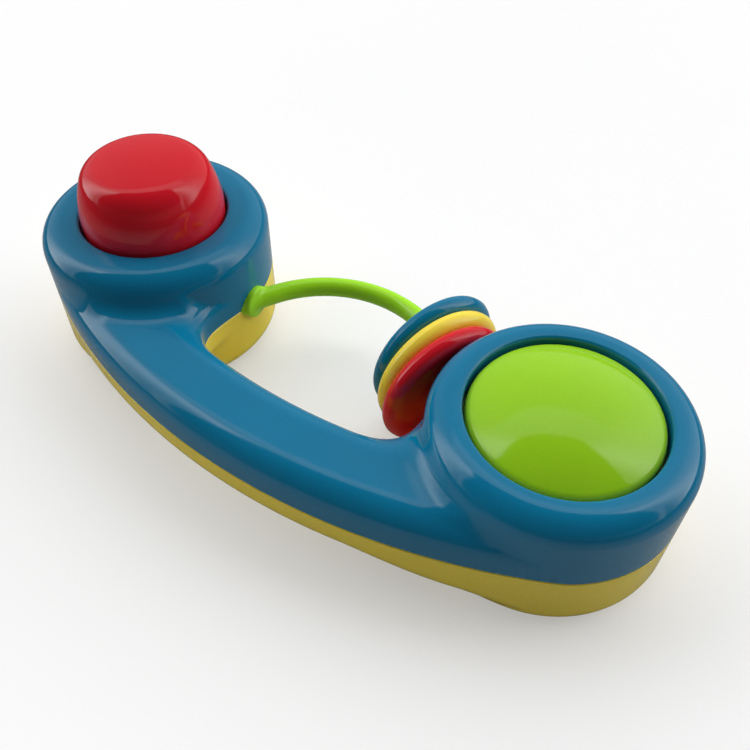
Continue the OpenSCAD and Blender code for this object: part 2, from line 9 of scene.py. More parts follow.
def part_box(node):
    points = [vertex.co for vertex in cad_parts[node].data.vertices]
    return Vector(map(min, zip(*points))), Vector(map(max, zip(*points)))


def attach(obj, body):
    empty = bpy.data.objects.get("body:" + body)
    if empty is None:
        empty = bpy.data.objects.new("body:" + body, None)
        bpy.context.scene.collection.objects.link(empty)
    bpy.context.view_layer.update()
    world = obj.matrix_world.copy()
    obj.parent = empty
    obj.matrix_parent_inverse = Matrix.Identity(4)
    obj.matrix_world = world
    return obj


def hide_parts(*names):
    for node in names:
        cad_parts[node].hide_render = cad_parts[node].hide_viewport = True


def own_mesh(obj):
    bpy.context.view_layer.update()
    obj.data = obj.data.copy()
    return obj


# Looks of the toy telephone handset. Shapes are worked out in millimetres in the CAD frame,
# and mesh_piece() turns them into metres.
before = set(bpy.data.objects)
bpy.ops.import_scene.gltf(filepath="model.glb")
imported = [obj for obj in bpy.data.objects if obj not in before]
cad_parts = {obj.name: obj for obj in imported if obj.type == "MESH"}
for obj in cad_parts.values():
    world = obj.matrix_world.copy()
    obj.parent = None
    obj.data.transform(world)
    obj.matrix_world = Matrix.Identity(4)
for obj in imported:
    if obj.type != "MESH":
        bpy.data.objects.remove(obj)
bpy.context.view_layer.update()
MM = 0.001


def node_box(name):
    """Lowest and highest corner of a CAD node, in millimetres."""
    low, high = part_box(name)
    return np.array(low) / MM, np.array(high) / MM


def node_centre(name):
    low, high = node_box(name)
    return (low + high) / 2


# ---------------------------------------------------------------- sizes taken from the frame
FRONT_LOW, FRONT_HIGH = node_box("front_shell")
BOARD = node_centre("main_board")
HALF_SPAN = -BOARD[0]
HEAD_Y = BOARD[1]
BODY_H = FRONT_HIGH[2]
MID_Z = FRONT_LOW[2]
HEAD_R = FRONT_HIGH[0] - HALF_SPAN
HANDLE_DROP = HEAD_Y - FRONT_LOW[1]
RED_HEAD = np.array([-HALF_SPAN, HEAD_Y])
GREEN_HEAD = np.array([HALF_SPAN, HEAD_Y])

# ---------------------------------------------------------------- camera
# Aim and distance in millimetres, angles in radians, focal length in millimetres
LOOK_AT = np.array([17.717, HEAD_Y - 12.306, BODY_H])
AZIMUTH, ELEVATION, ROLL = 0.5852, 0.8401, 0.0212
DISTANCE = 145.0
LENS = 38.44

camera_data = bpy.data.cameras.new("camera")
camera_data.sensor_width = 36.0
camera_data.lens = LENS
camera_data.clip_start = 0.005
camera_data.clip_end = 30.0
camera = bpy.data.objects.new("camera", camera_data)
bpy.context.scene.collection.objects.link(camera)
back = np.array([
    math.sin(AZIMUTH) * math.cos(ELEVATION),
    -math.cos(AZIMUTH) * math.cos(ELEVATION),
    math.sin(ELEVATION),
])
level_right = np.array([math.cos(AZIMUTH), math.sin(AZIMUTH), 0.0])
level_up = np.cross(back, level_right)
right = math.cos(ROLL) * level_right + math.sin(ROLL) * level_up
up = -math.sin(ROLL) * level_right + math.cos(ROLL) * level_up
stand = (LOOK_AT + DISTANCE * back) * MM
camera.matrix_world = Matrix([
    [right[i], up[i], back[i], stand[i]] for i in range(3)
] + [[0, 0, 0, 1]])
bpy.context.scene.camera = camera

# ---------------------------------------------------------------- materials


class Shader:
    """A Principled material with its nodes, laid down by short calls."""

    def __init__(self, name):
        self.material = bpy.data.materials.new(name)
        self.material.use_nodes = True
        self.nodes = self.material.node_tree.nodes
        self.links = self.material.node_tree.links
        self.bsdf = self.nodes["Principled BSDF"]
        self.place = self.nodes.new("ShaderNodeTexCoord").outputs["Object"]

    def set(self, **values):
        for name, value in values.items():
            self.bsdf.inputs[name.replace("_", " ")].default_value = value

    def link(self, output, name):
        self.links.new(output, self.bsdf.inputs[name])

    def stretched(self, scale, turn=(0, 0, 0)):
        node = self.nodes.new("ShaderNodeMapping")
        node.inputs["Scale"].default_value = scale
        node.inputs["Rotation"].default_value = turn
        self.links.new(self.place, node.inputs["Vector"])
        return node.outputs["Vector"]

    def noise(self, scale, detail=3.0, rough=0.5, vector=None):
        node = self.nodes.new("ShaderNodeTexNoise")
        node.inputs["Scale"].default_value = scale
        node.inputs["Detail"].default_value = detail
        node.inputs["Roughness"].default_value = rough
        self.links.new(vector or self.place, node.inputs["Vector"])
        return node.outputs["Fac"]

    def ranged(self, value, low, high, new_low, new_high):
        node = self.nodes.new("ShaderNodeMapRange")
        limits = {"From Min": low, "From Max": high, "To Min": new_low, "To Max": new_high}
        for name, number in limits.items():
            node.inputs[name].default_value = number
        self.links.new(value, node.inputs["Value"])
        return node.outputs["Result"]

    def spread(self, value):
        """The middle of a noise's range, spread over 0 to 1."""
        return self.ranged(value, 0.3, 0.7, 0, 1)

    def calc(self, a, b, how="ADD"):
        node = self.nodes.new("ShaderNodeMath")
        node.operation = how
        self.links.new(a, node.inputs[0])
        self.links.new(b, node.inputs[1])
        return node.outputs[0]

    def mix(self, factor, a, b):
        """Colour between a and b, each a colour or another node's output."""
        node = self.nodes.new("ShaderNodeMix")
        node.data_type = "RGBA"
        self.links.new(factor, node.inputs[0])
        for socket, colour in ((node.inputs[6], a), (node.inputs[7], b)):
            if isinstance(colour, bpy.types.NodeSocket):
                self.links.new(colour, socket)
            else:
                socket.default_value = (*colour, 1)
        return node.outputs[2]

    def bump(self, height, distance):
        node = self.nodes.new("ShaderNodeBump")
        node.inputs["Strength"].default_value = 1.0
        node.inputs["Distance"].default_value = distance
        self.links.new(height, node.inputs["Height"])
        self.link(node.outputs["Normal"], "Normal")


def scaled(colour, factor):
    return tuple(min(1.0, c * factor) for c in colour)


def gloss_plastic(name, base, deep, rough=0.075, scatter=0.04):
    """Glossy moulded plastic: pigment clouds, a handled satin haze, hair scratches and a faint
    orange peel."""
    s = Shader(name)
    clouds = s.spread(s.noise(55, 4, 0.55))
    fine = s.spread(s.noise(1500, 2))
    cloudy = s.mix(clouds, deep, base)
    lighter = s.mix(clouds, scaled(deep, 1.03), scaled(base, 1.03))
    s.link(s.mix(fine, cloudy, lighter), "Base Color")
    hair = s.noise(1.0, 3, 0.6, s.stretched((90, 4200, 1300), (0.3, 0.5, 0.6)))
    scratches = s.ranged(hair, 0.70, 0.76, 0, 1)
    cross_hair = s.noise(1.0, 3, 0.6, s.stretched((3900, 120, 900), (0.2, 0.9, 0.35)))
    crossed = s.ranged(cross_hair, 0.71, 0.77, 0, 1)
    marks = s.calc(scratches, crossed, "MAXIMUM")
    patches = s.ranged(s.noise(38, 3), 0.45, 0.72, 0, 1)
    worn = s.calc(marks, patches, "MULTIPLY")
    haze = s.ranged(s.noise(85, 5, 0.65), 0.3, 0.75, rough * 0.8, rough * 1.5)
    s.link(s.calc(haze, s.ranged(worn, 0, 1, 0, 0.16)), "Roughness")
    peel = s.ranged(s.noise(330, 2, 0.4), 0, 1, 0, 1)
    s.bump(s.calc(peel, s.ranged(worn, 0, 1, 0, -0.25)), 0.000012)
    s.set(IOR=1.5, Subsurface_Weight=scatter, Subsurface_Scale=0.0012)
    return s.material


def plated_metal(name, base, rough=0.28):
    """Zinc or nickel plate: drawn lines, cloudy passivation and a slight dullness in patches."""
    s = Shader(name)
    clouds = s.spread(s.noise(400, 4))
    s.link(s.mix(clouds, scaled(base, 0.8), scaled(base, 1.1)), "Base Color")
    lines = s.noise(1.0, 2, 0.5, s.stretched((400, 9000, 400)))
    dull = s.calc(lines, clouds, "MULTIPLY")
    s.link(s.ranged(dull, 0.1, 0.5, rough * 0.8, rough * 1.4), "Roughness")
    s.bump(lines, 0.00001)
    s.set(Metallic=1.0)
    return s.material


def plain_matter(name, base, deep, rough, grain, height):
    """Matt matter with a grain of its own: board, resin, paper, ferrite or vinyl."""
    s = Shader(name)
    coarse = s.spread(s.noise(grain / 8, 3))
    fine = s.noise(grain, 4, 0.6)
    s.link(s.mix(s.calc(coarse, s.spread(fine), "MULTIPLY"), deep, base), "Base Color")
    s.link(s.ranged(fine, 0.3, 0.7, rough * 0.85, min(1.0, rough * 1.15)), "Roughness")
    s.bump(fine, height)
    return s.material


def circuit_board(name):
    """Solder mask over copper tracks: stepped bands of lighter green on a fibre board."""
    s = Shader(name)
    bands = s.ranged(s.noise(1.0, 1, 0.3, s.stretched((420, 150, 10))), 0.50, 0.515, 0, 1)
    crossing = s.ranged(s.noise(1.0, 1, 0.3, s.stretched((130, 520, 10))), 0.55, 0.565, 0, 1)
    tracks = s.calc(bands, crossing, "MAXIMUM")
    weave = s.spread(s.noise(2500, 2))
    mask = s.mix(weave, (0.012, 0.10, 0.035), (0.02, 0.13, 0.045))
    s.link(s.mix(tracks, mask, (0.05, 0.24, 0.09)), "Base Color")
    s.link(s.ranged(weave, 0, 1, 0.28, 0.4), "Roughness")
    s.bump(tracks, 0.00003)
    return s.material


# Plastics: colour, its deeper clouds, roughness, and the share of light that scatters inside
TEAL = gloss_plastic("teal_plastic", (0.003, 0.175, 0.325), (0.002, 0.164, 0.308))
YELLOW = gloss_plastic("yellow_plastic", (0.96, 0.75, 0.075), (0.94, 0.73, 0.065), 0.10, 0.08)
RED = gloss_plastic("red_plastic", (0.66, 0.009, 0.020), (0.63, 0.008, 0.018), 0.07)
GREEN = gloss_plastic("green_plastic", (0.30, 0.60, 0.013), (0.28, 0.57, 0.011), 0.07, 0.06)
ROD_GREEN = gloss_plastic("rod_green_plastic", (0.39, 0.83, 0.020), (0.37, 0.80, 0.018), 0.07, 0.06)
# Metals: colour and roughness
SPRING_STEEL = plated_metal("spring_steel", (0.62, 0.62, 0.64), 0.22)
SCREW_STEEL = plated_metal("screw_steel", (0.55, 0.55, 0.57), 0.3)
PRESSED_STEEL = plated_metal("pressed_steel", (0.60, 0.60, 0.62), 0.34)
BOARD_GREEN = circuit_board("circuit_board")
# Matt matter: colour, deeper colour, roughness, the grain's scale and its height in metres
RESIN = plain_matter("black_plastic", (0.035, 0.035, 0.037), (0.02, 0.02, 0.021), 0.45, 1500, 0.00002)
FERRITE = plain_matter("magnet", (0.085, 0.085, 0.09), (0.05, 0.05, 0.055), 0.6, 2200, 0.00003)
PAPER = plain_matter("cone_paper", (0.13, 0.12, 0.105), (0.07, 0.065, 0.06), 0.9, 1800, 0.00006)
VINYL = plain_matter("wire_cover", (0.62, 0.60, 0.52), (0.52, 0.50, 0.43), 0.42, 900, 0.00001)
VINYL_RED = plain_matter("wire_cover_red", (0.55, 0.03, 0.03), (0.45, 0.02, 0.02), 0.42, 900, 0.00001)

# ---------------------------------------------------------------- meshes


def mesh_piece(name, points, faces, material, body, replaces, smooth_angle, skin_normals=None):
    """A Blender object from millimetre points, smooth except over edges sharper than smooth_angle.
    skin_normals gives a corner normal for each face corner, or nan where the mesh's own is kept."""
    mesh = bpy.data.meshes.new(name)
    mesh.from_pydata((np.asarray(points) * MM).tolist(), [], [tuple(int(i) for i in f) for f in faces])
    mesh.update()
    mesh.shade_smooth()
    mesh.set_sharp_from_angle(angle=math.radians(smooth_angle))
    if skin_normals is not None:
        own = np.zeros(len(mesh.loops) * 3, np.float32)
        mesh.corner_normals.foreach_get("vector", own)
        own = own.reshape(-1, 3)
        given = ~np.isnan(skin_normals[:, 0])
        own[given] = skin_normals[given]
        mesh.normals_split_custom_set(own.tolist())
    mesh.materials.append(material)
    piece = bpy.data.objects.new(name, mesh)
    bpy.context.scene.collection.objects.link(piece)
    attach(piece, body)
    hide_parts(*replaces)
    return piece


def on_circle(x, y, r, angle):
    return x + r * math.cos(angle), y + r * math.sin(angle)


def circle_points(x, y, r, count):
    return [on_circle(x, y, r, 2 * math.pi * i / count) for i in range(count)]


def step(a, b, x):
    """0 where x is below a, 1 above b, and smooth in between."""
    t = np.clip((x - a) / (b - a), 0, 1)
    return t * t * (3 - 2 * t)


def melt(a, b, k):
    """Smooth minimum: the union of two shapes with a fillet about k wide."""
    k = np.maximum(k, 1e-6)
    h = np.maximum(k - np.abs(a - b), 0) / k
    return np.minimum(a, b) - h * h * k / 4


def both(a, b):
    """Distance to what lies inside both of two sides at right angles, from the distances to each."""
    return np.minimum(np.maximum(a, b), 0) + np.hypot(np.maximum(a, 0), np.maximum(b, 0))


def raised(plan, z, half, r):
    """Distance to a plan outline raised to a slab of half height half, its rims rounded by r."""
    return both(plan + r, np.abs(z) - half + r) - r


def gradient(shape, p, e=0.02):
    sides = []
    for axis in range(3):
        d = np.zeros(3)
        d[axis] = e
        sides.append((shape(p + d) - shape(p - d)) / (2 * e))
    return np.stack(sides, 1)


def normals_of(shape, p):
    g = gradient(shape, p)
    return g / np.maximum(np.linalg.norm(g, axis=1, keepdims=True), 1e-9)


def settle(shape, p, rounds=4):
    """Moves points onto the surface where shape is zero."""
    for _ in range(rounds):
        g = gradient(shape, p)
        p = p - (shape(p) / np.maximum((g * g).sum(1), 1e-6))[:, None] * g
    return p


def surface_net(shape, low, high, cell, relax=4):
    """Even quads over the surface where shape is zero, inside a box."""
    low = np.array(low, float)
    count = np.ceil((np.array(high) - low) / cell).astype(int) + 1
    axes = [low[i] + cell * np.arange(count[i]) for i in range(3)]
    grid = np.stack(np.meshgrid(*axes, indexing="ij"), -1).reshape(-1, 3)
    field = shape(grid).reshape(count)
    field[field == 0] = 1e-9
    inside = field < 0
    places, cells, quads = [], [], []
    for a in range(3):
        b, c = (a + 1) % 3, (a + 2) % 3
        lower, upper = [slice(None)] * 3, [slice(None)] * 3
        lower[a], upper[a] = slice(0, -1), slice(1, None)
        at = np.argwhere(inside[tuple(lower)] != inside[tuple(upper)])
        beyond = at.copy()
        beyond[:, a] += 1
        f0, f1 = field[tuple(at.T)], field[tuple(beyond.T)]
        point = low + cell * at
        point[:, a] += cell * f0 / (f0 - f1)
        four = []
        for db, dc in ((-1, -1), (0, -1), (0, 0), (-1, 0)):
            q = at.copy()
            q[:, b] += db
            q[:, c] += dc
            four.append(np.ravel_multi_index(tuple(q.T), count))
        four = np.stack(four, 1)
        flip = f0 > 0
        four[flip] = four[flip][:, ::-1]
        places.append(np.repeat(point, 4, axis=0))
        cells.append(four.reshape(-1))
        quads.append(four)
    cells, places, quads = np.concatenate(cells), np.concatenate(places), np.concatenate(quads)
    kept, index = np.unique(cells, return_inverse=True)
    total = np.bincount(index)
    points = np.stack([np.bincount(index, weights=places[:, k]) / total for k in range(3)], 1)
    quads = np.searchsorted(kept, quads)
    points = settle(shape, points)
    ends = np.concatenate([quads[:, [i, (i + 1) % 4]] for i in range(4)])
    degree = np.bincount(ends[:, 0], minlength=len(points))[:, None]
    for _ in range(relax):
        around = np.stack([
            np.bincount(ends[:, 0], weights=points[ends[:, 1], k], minlength=len(points)) for k in range(3)
        ], 1)
        points = settle(shape, points + 0.5 * (around / degree - points), 2)
    return points, quads


def onto(shape, cut, p, level=None, rounds=8):
    """Moves points onto both the surface and the cut. level fixes their height."""
    p = p.copy()
    for _ in range(rounds):
        if level is not None:
            p[:, 2] = level
        rows = np.stack([gradient(shape, p), gradient(cut, p)], 1)
        if level is not None:
            rows[:, :, 2] = 0
        off = np.stack([shape(p), cut(p)], 1)
        square = rows @ rows.transpose(0, 2, 1) + 1e-9 * np.eye(2)
        p = p - (rows.transpose(0, 2, 1) @ np.linalg.solve(square, off[:, :, None]))[:, :, 0]
    return p


class Skin:
    """The outer surface of a shell while it is trimmed. tags says which cuts a point lies on."""

    def __init__(self, shape, points, faces, cell):
        self.shape, self.cell = shape, cell
        self.points = np.array(points)
        self.faces = [tuple(int(i) for i in f) for f in faces]
        self.tags = [0] * len(self.points)

    def moved(self, points, tags, cut, seam):
        """The points moved onto the cut. Those that carry the seam's tag stay on its plane."""
        points = np.array(points)
        held = np.array([seam is not None and t & seam[0] > 0 for t in tags], bool)
        if (~held).any():
            points[~held] = onto(self.shape, cut, points[~held])
        if held.any():
            points[held] = onto(self.shape, cut, points[held], seam[1])
        return points

    def trim(self, cut, tag, seam=None):
        """Keeps the side where cut is positive. seam is (tag, height) of a plane that its new
        points stay on."""
        value = cut(self.points)
        near = np.abs(value) < 0.2 * self.cell
        side = np.sign(value).astype(int)
        side[near] = 0
        on_cut = np.nonzero(near)[0]
        self.points[on_cut] = self.moved(self.points[on_cut], [self.tags[i] for i in on_cut], cut, seam)
        for i in on_cut:
            self.tags[i] |= tag
        fresh, starts, faces = {}, [], []
        for f in self.faces:
            s = [side[i] for i in f]
            if min(s) >= 0:
                if max(s) > 0:
                    faces.append(f)
                continue
            if max(s) <= 0:
                continue
            out = []
            for n, i in enumerate(f):
                j = f[(n + 1) % len(f)]
                if side[i] >= 0:
                    out.append(i)
                if side[i] * side[j] < 0:
                    key = (min(i, j), max(i, j))
                    if key not in fresh:
                        share = value[i] / (value[i] - value[j])
                        fresh[key] = len(self.points) + len(starts)
                        starts.append(self.points[i] + share * (self.points[j] - self.points[i]))
                        self.tags.append(tag | (self.tags[i] & self.tags[j]))
                    out.append(fresh[key])
            if len(out) > 2:
                faces.append(tuple(out))
        self.faces = faces
        if starts:
            made = self.moved(starts, self.tags[len(self.points):], cut, seam)
            self.points = np.vstack([self.points, made])
        self.drop_loose()

    def drop_loose(self):
        used = sorted({i for f in self.faces for i in f})
        index = {old: new for new, old in enumerate(used)}
        self.points = self.points[used]
        self.tags = [self.tags[i] for i in used]
        self.faces = [tuple(index[i] for i in f) for f in self.faces]

    def open_edges(self):
        edges = {(f[n], f[(n + 1) % len(f)]) for f in self.faces for n in range(len(f))}
        return [(a, b) for a, b in edges if (b, a) not in edges]

    def patch(self, tag, z, holes, keep):
        """Fills the flat opening in the underside whose edge carries tag, leaving holes, each
        (points, tag), and keeping the triangles whose centre passes keep."""
        rim = [e for e in self.open_edges() if self.tags[e[0]] & tag and self.tags[e[1]] & tag]
        ids = sorted({i for e in rim for i in e})
        place = {i: n for n, i in enumerate(ids)}
        flat = [Vector(self.points[i][:2]) for i in ids]
        edges = [(place[a], place[b]) for a, b in rim]
        start = len(self.points)
        extra = []
        for points, hole_tag in holes:
            first = len(flat)
            n = len(points)
            for k, q in enumerate(points):
                ids.append(start + len(extra))
                extra.append([q[0], q[1], z])
                self.tags.append(hole_tag)
                flat.append(Vector(q))
                edges.append((first + k, first + (k + 1) % n))
        self.points = np.vstack([self.points, np.array(extra)])
        spots, _, triangles, origins, _, _ = delaunay_2d_cdt(flat, edges, [], 1, 1e-6, True)
        source = [ids[o[0]] for o in origins]
        for f in triangles:
            centre = sum((spots[i] for i in f), Vector((0, 0))) / len(f)
            if keep(centre):
                self.faces.append(tuple(source[i] for i in reversed(f)))

    def thicken(self, wall, path):
        """A closed shell: the skin, its copy set in by wall, and the strips that join them over
        every open edge. path gives the points between a skin point and its copy. Returns points,
        faces and corner normals."""
        out = normals_of(self.shape, self.points)
        count = len(self.points)
        points = [self.points, self.points - wall * out]
        extra, ladders = [], {}
        total = 2 * count

        def ladder(i):
            nonlocal total
            if i not in ladders:
                steps = path(self.points[i], out[i], self.tags[i])
                ids = list(range(total, total + len(steps)))
                extra.extend(steps)
                total += len(steps)
                ladders[i] = [i, *ids, i + count]
            return ladders[i]

        faces = list(self.faces)
        inner = [tuple(i + count for i in reversed(f)) for f in self.faces]
        strips = []
        for a, b in self.open_edges():
            pa, pb = ladder(a), ladder(b)
            if len(pa) == len(pb):
                for k in range(len(pa) - 1):
                    strips.append((pb[k], pa[k], pa[k + 1], pb[k + 1]))
            else:
                strips.append((b, a, *pa[1:], *reversed(pb[1:])))
        if extra:
            points.append(np.array(extra))
        corners = [out[i] for f in faces for i in f]
        corners += [-out[i - count] for f in inner for i in f]
        corners += [np.full(3, np.nan)] * sum(len(f) for f in strips)
        return np.vstack(points), faces + inner + strips, np.array(corners)


# ---------------------------------------------------------------- the body's shape
HEAD_EDGE_R = 5.0
HANDLE_W = 16.8
HANDLE_UP, HANDLE_DOWN = 8.7, 9.3
HANDLE_EDGE_UP, HANDLE_EDGE_DOWN = 5.0, 6.0
# The fillets below change over this far either side of the handle's middle line.
MIDDLE_BAND = 4
# Fillet in plan between head and handle, on the handle's inner side
CORNER_MELT = 14.0
# Fillet between the handle's faces and a head's wall. It fades between two distances from the
# handle's outline, and between two depths under the handle's face.
CLIFF_MELT = 5.0
CLIFF_FADE_INNER, CLIFF_FADE_OUTER = (1, 8), (-4, 1)
CLIFF_DEPTHS = (4, 1)
CLIFF_ROOM = 0.1
# Near the green button's head the handle's underside comes down towards the head's underside,
# by distance from the head's wall, from the handle's end and from x = 0.
FLARE_DROP, FLARE_TO_HEAD = 3.2, 3.3
FLARE_FROM_WALL, FLARE_FROM_END, FLARE_FROM_MIDDLE = (-2, 18), (-2, 16), (0, 25)
WALL = 2.0
ARC_R = (HALF_SPAN**2 + HANDLE_DROP**2 - HEAD_R**2) / (2 * (HANDLE_DROP - HEAD_R))
ARC_Y = HEAD_Y + ARC_R - HANDLE_DROP
ARC_MID_R = ARC_R - HANDLE_W / 2
END_DIR = np.array([ARC_Y - HEAD_Y, HALF_SPAN]) / math.hypot(ARC_Y - HEAD_Y, HALF_SPAN)


def body_shape(p):
    """Distance to the outside of the whole body: two round heads melted into a curved handle."""
    x, y, z = np.abs(p[:, 0]), p[:, 1], p[:, 2] - MID_Z
    head = np.hypot(x - HALF_SPAN, y - HEAD_Y) - HEAD_R
    rho = np.hypot(x, y - ARC_Y)
    across = np.abs(rho - ARC_MID_R) - HANDLE_W / 2
    along = x * END_DIR[0] + (y - ARC_Y) * END_DIR[1]
    strip = both(across, along)
    outer = step(ARC_MID_R - MIDDLE_BAND, ARC_MID_R + MIDDLE_BAND, rho)
    plan = melt(head, strip, CORNER_MELT * (1 - outer))
    flare = FLARE_DROP * (1 - step(*FLARE_FROM_WALL, head))
    flare += FLARE_TO_HEAD * (1 - step(*FLARE_FROM_END, -along))
    flare *= step(*FLARE_FROM_MIDDLE, p[:, 0])
    half = np.where(z > 0, HANDLE_UP, HANDLE_DOWN + flare)
    edge = np.where(z > 0, HANDLE_EDGE_UP, HANDLE_EDGE_DOWN - flare / (FLARE_DROP + FLARE_TO_HEAD))
    block = raised(head, z, BODY_H / 2, HEAD_EDGE_R)
    bar = raised(plan, z, half, edge)
    cliff = np.minimum(CLIFF_MELT, BODY_H / 2 - half - CLIFF_ROOM)
    cliff *= step(half - CLIFF_DEPTHS[0], half - CLIFF_DEPTHS[1], np.abs(z))
    near, far = (a + (b - a) * outer for a, b in zip(CLIFF_FADE_INNER, CLIFF_FADE_OUTER))
    cliff *= 1 - step(near, far, strip)
    return melt(block, bar, cliff)


# Rod: a bend and a straight stub at each end
ROD_R = 2.15
ROD_Y = HEAD_Y - 5.8
ROD_BEND_R = 26.1
ROD_BEND_ANGLE = math.radians(60)
STUB_LEN = 13.8
STUB_DIR = np.array([math.cos(ROD_BEND_ANGLE), -math.sin(ROD_BEND_ANGLE)])
STUB_START = ROD_BEND_R * np.array([math.sin(ROD_BEND_ANGLE), math.cos(ROD_BEND_ANGLE)])
TO_HEAD = np.array([HALF_SPAN, HEAD_Y - ROD_Y]) - STUB_START
TO_NEAREST = TO_HEAD @ STUB_DIR
STUB_TO_WALL = TO_NEAREST - math.sqrt(TO_NEAREST**2 - TO_HEAD @ TO_HEAD + HEAD_R**2)
STUB_AT_WALL = STUB_START + STUB_TO_WALL * STUB_DIR
STUB_WALL_NORMAL = (STUB_AT_WALL - np.array([HALF_SPAN, HEAD_Y - ROD_Y])) / HEAD_R
# Its collar is a plate melted into the stub and sunk a little into the head's wall.
COLLAR_R, COLLAR_H, COLLAR_EDGE_R = 3.65, 1.35, 0.5
COLLAR_MELT = 1.2
COLLAR_SINK = 0.25
# The bar across each end of the rod, inside the head
ANCHOR_R, ANCHOR_HALF_LEN = 1.3, 3.7
ROD_CELL = 0.4
ROD_NET_LOW, ROD_NET_HIGH = (-38.017, -9.013, 8.017), (38.0, 27.9, 24.0)
# Larger than any distance that matters
FAR_OFF = 9.0


def stub_distance(p):
    """Distance from the axis of the nearer stub, and how far along it, both from |x|."""
    x, y, z = np.abs(p[:, 0]) - STUB_START[0], p[:, 1] - ROD_Y - STUB_START[1], p[:, 2] - MID_Z
    along = x * STUB_DIR[0] + y * STUB_DIR[1]
    side = x * STUB_DIR[1] - y * STUB_DIR[0]
    return np.hypot(side, z), along


def rod_shape(p):
    """The rod with a thin flared collar on each head's wall, and its anchors inside."""
    x, y, z = np.abs(p[:, 0]), p[:, 1] - ROD_Y, p[:, 2] - MID_Z
    axis_gap, along = stub_distance(p)
    bent = np.hypot(np.hypot(x, y) - ROD_BEND_R, z) - ROD_R
    straight = np.maximum(axis_gap - ROD_R, along - STUB_LEN)
    rod = np.where(along > 0, straight, bent)
    off_wall = np.hypot(x - HALF_SPAN, p[:, 1] - HEAD_Y) - HEAD_R
    wall_x, wall_y = STUB_WALL_NORMAL
    on_wall = (x - STUB_AT_WALL[0]) * wall_y - (y - STUB_AT_WALL[1]) * wall_x
    qx = np.hypot(on_wall, z) - COLLAR_R + COLLAR_EDGE_R
    qz = off_wall - COLLAR_H + COLLAR_EDGE_R
    plate = np.where(along > 0, both(qx, qz) - COLLAR_EDGE_R, FAR_OFF)
    flared = melt(rod, plate, COLLAR_MELT)
    trimmed = np.maximum(flared, -off_wall - COLLAR_SINK)
    whole = np.minimum(trimmed, rod)
    bar_x, bar_y = STUB_START + (STUB_LEN - ANCHOR_R) * STUB_DIR
    past_bar = np.maximum(np.abs(z) - ANCHOR_HALF_LEN, 0)
    bar = np.hypot(np.hypot(x - bar_x, y - bar_y), past_bar) - ANCHOR_R
    return np.minimum(whole, bar)


# ---------------------------------------------------------------- shells
CELL = 0.8
# The net's box is uneven round the body, so that no plane of the grid lies on a flat face.
NET_REACH = HALF_SPAN + HEAD_R + 1.3
NET_LOW = (-NET_REACH + 0.013, HEAD_Y - HANDLE_DROP - 1.37, -1.29)
NET_HIGH = (NET_REACH, HEAD_Y + HEAD_R + 1.6, BODY_H + 1.5)
SEAM, NOTCH, RED_WELL, GREEN_WELL, GRILLE_RIM, GRILLE, DOOR_RIM, DOOR, BORE = (1 << n for n in range(9))
SEAM_BEVEL = 0.25
SEAM_GAP = 0.012
WELL_WALL, WELL_BEVEL = 1.6, 0.3
WELL_BOTTOM = BODY_H - 6
RED_WELL_R, GREEN_WELL_R = 16.1, 18.25
RIM_R = 0.7
TUNNEL_R, TUNNEL_REACH = 2.25, 6
BORE_R, SHANK_HOLE_R, BORE_BEVEL = 2.5, 1.5, 0.25
HEAD_SEAT_Z, HANDLE_SEAT_Z = 8.0, 10.0
BOSS_TOP = MID_Z - 0.4
HEAD_SCREW_X = HALF_SPAN + 20.2
HANDLE_SCREW_ANGLE = math.radians(13.6)
# The grille is one hole and rings of 6, 12 and 18 round it.
GRILLE_HOLE_R, GRILLE_BEVEL = 0.9, 0.15
GRILLE_RINGS, GRILLE_PITCH = 4, 3
GRILLE_AREA_R = 11.4
# Flat boxes below are (x low, x high, y low, y high).
DOOR_START = node_box("battery_door")[0][0]
DOOR_LEN, DOOR_GAP, DOOR_HALF_W = 29.0, 0.2, 8.2
DOOR_PLATE = (
    DOOR_START - DOOR_GAP, DOOR_START + DOOR_LEN + DOOR_GAP,
    HEAD_Y - DOOR_HALF_W, HEAD_Y + DOOR_HALF_W,
)
DOOR_RECESS, DOOR_BEVEL, DOOR_CORNER_R = 1.2, 0.2, 0.6
DOOR_PATCH_MARGIN, DOOR_PATCH_CORNER_R = 1.4, 3.0
CELL_BOX = (HALF_SPAN - 9.8, HALF_SPAN + 9.8, HEAD_Y - 6.2, HEAD_Y + 6.2)
BOX_TOP, BOX_WALL, BOX_CORNER_R, BOX_OUTER_CORNER_R = 14.3, 1.2, 0.5, 1.5

# Case screws: x, y and the height of the seat under the head
BORES = [(-HEAD_SCREW_X, HEAD_Y, HEAD_SEAT_Z), (HEAD_SCREW_X, HEAD_Y, HEAD_SEAT_Z)] + [
    (ARC_MID_R * math.sin(a), ARC_Y - ARC_MID_R * math.cos(a), HANDLE_SEAT_Z)
    for a in (-HANDLE_SCREW_ANGLE, 0, HANDLE_SCREW_ANGLE)
]
GRILLE_HOLES = [
    place for ring in range(GRILLE_RINGS)
    for place in circle_points(*RED_HEAD, GRILLE_PITCH * ring, max(1, 6 * ring))
]


def round_rectangle(box, r):
    """Outline of a rectangle with rounded corners, always with the same number of points."""
    per_side, per_corner = 10, 6
    x0, x1, y0, y1 = box
    corners = [(x1 - r, y0 + r, -90), (x1 - r, y1 - r, 0), (x0 + r, y1 - r, 90), (x0 + r, y0 + r, 180)]
    out = []
    for n, (x, y, start) in enumerate(corners):
        turns = [math.radians(start + 90 * k / per_corner) for k in range(per_corner + 1)]
        arc = [on_circle(x, y, r, turn) for turn in turns]
        next_x, next_y, next_start = corners[(n + 1) % 4]
        ax, ay = arc[-1]
        bx, by = on_circle(next_x, next_y, r, math.radians(next_start))
        side = [(ax + (bx - ax) * k / per_side, ay + (by - ay) * k / per_side) for k in range(1, per_side)]
        out += arc + side
    return out


def grown(box, by):
    return (box[0] - by, box[1] + by, box[2] - by, box[3] + by)


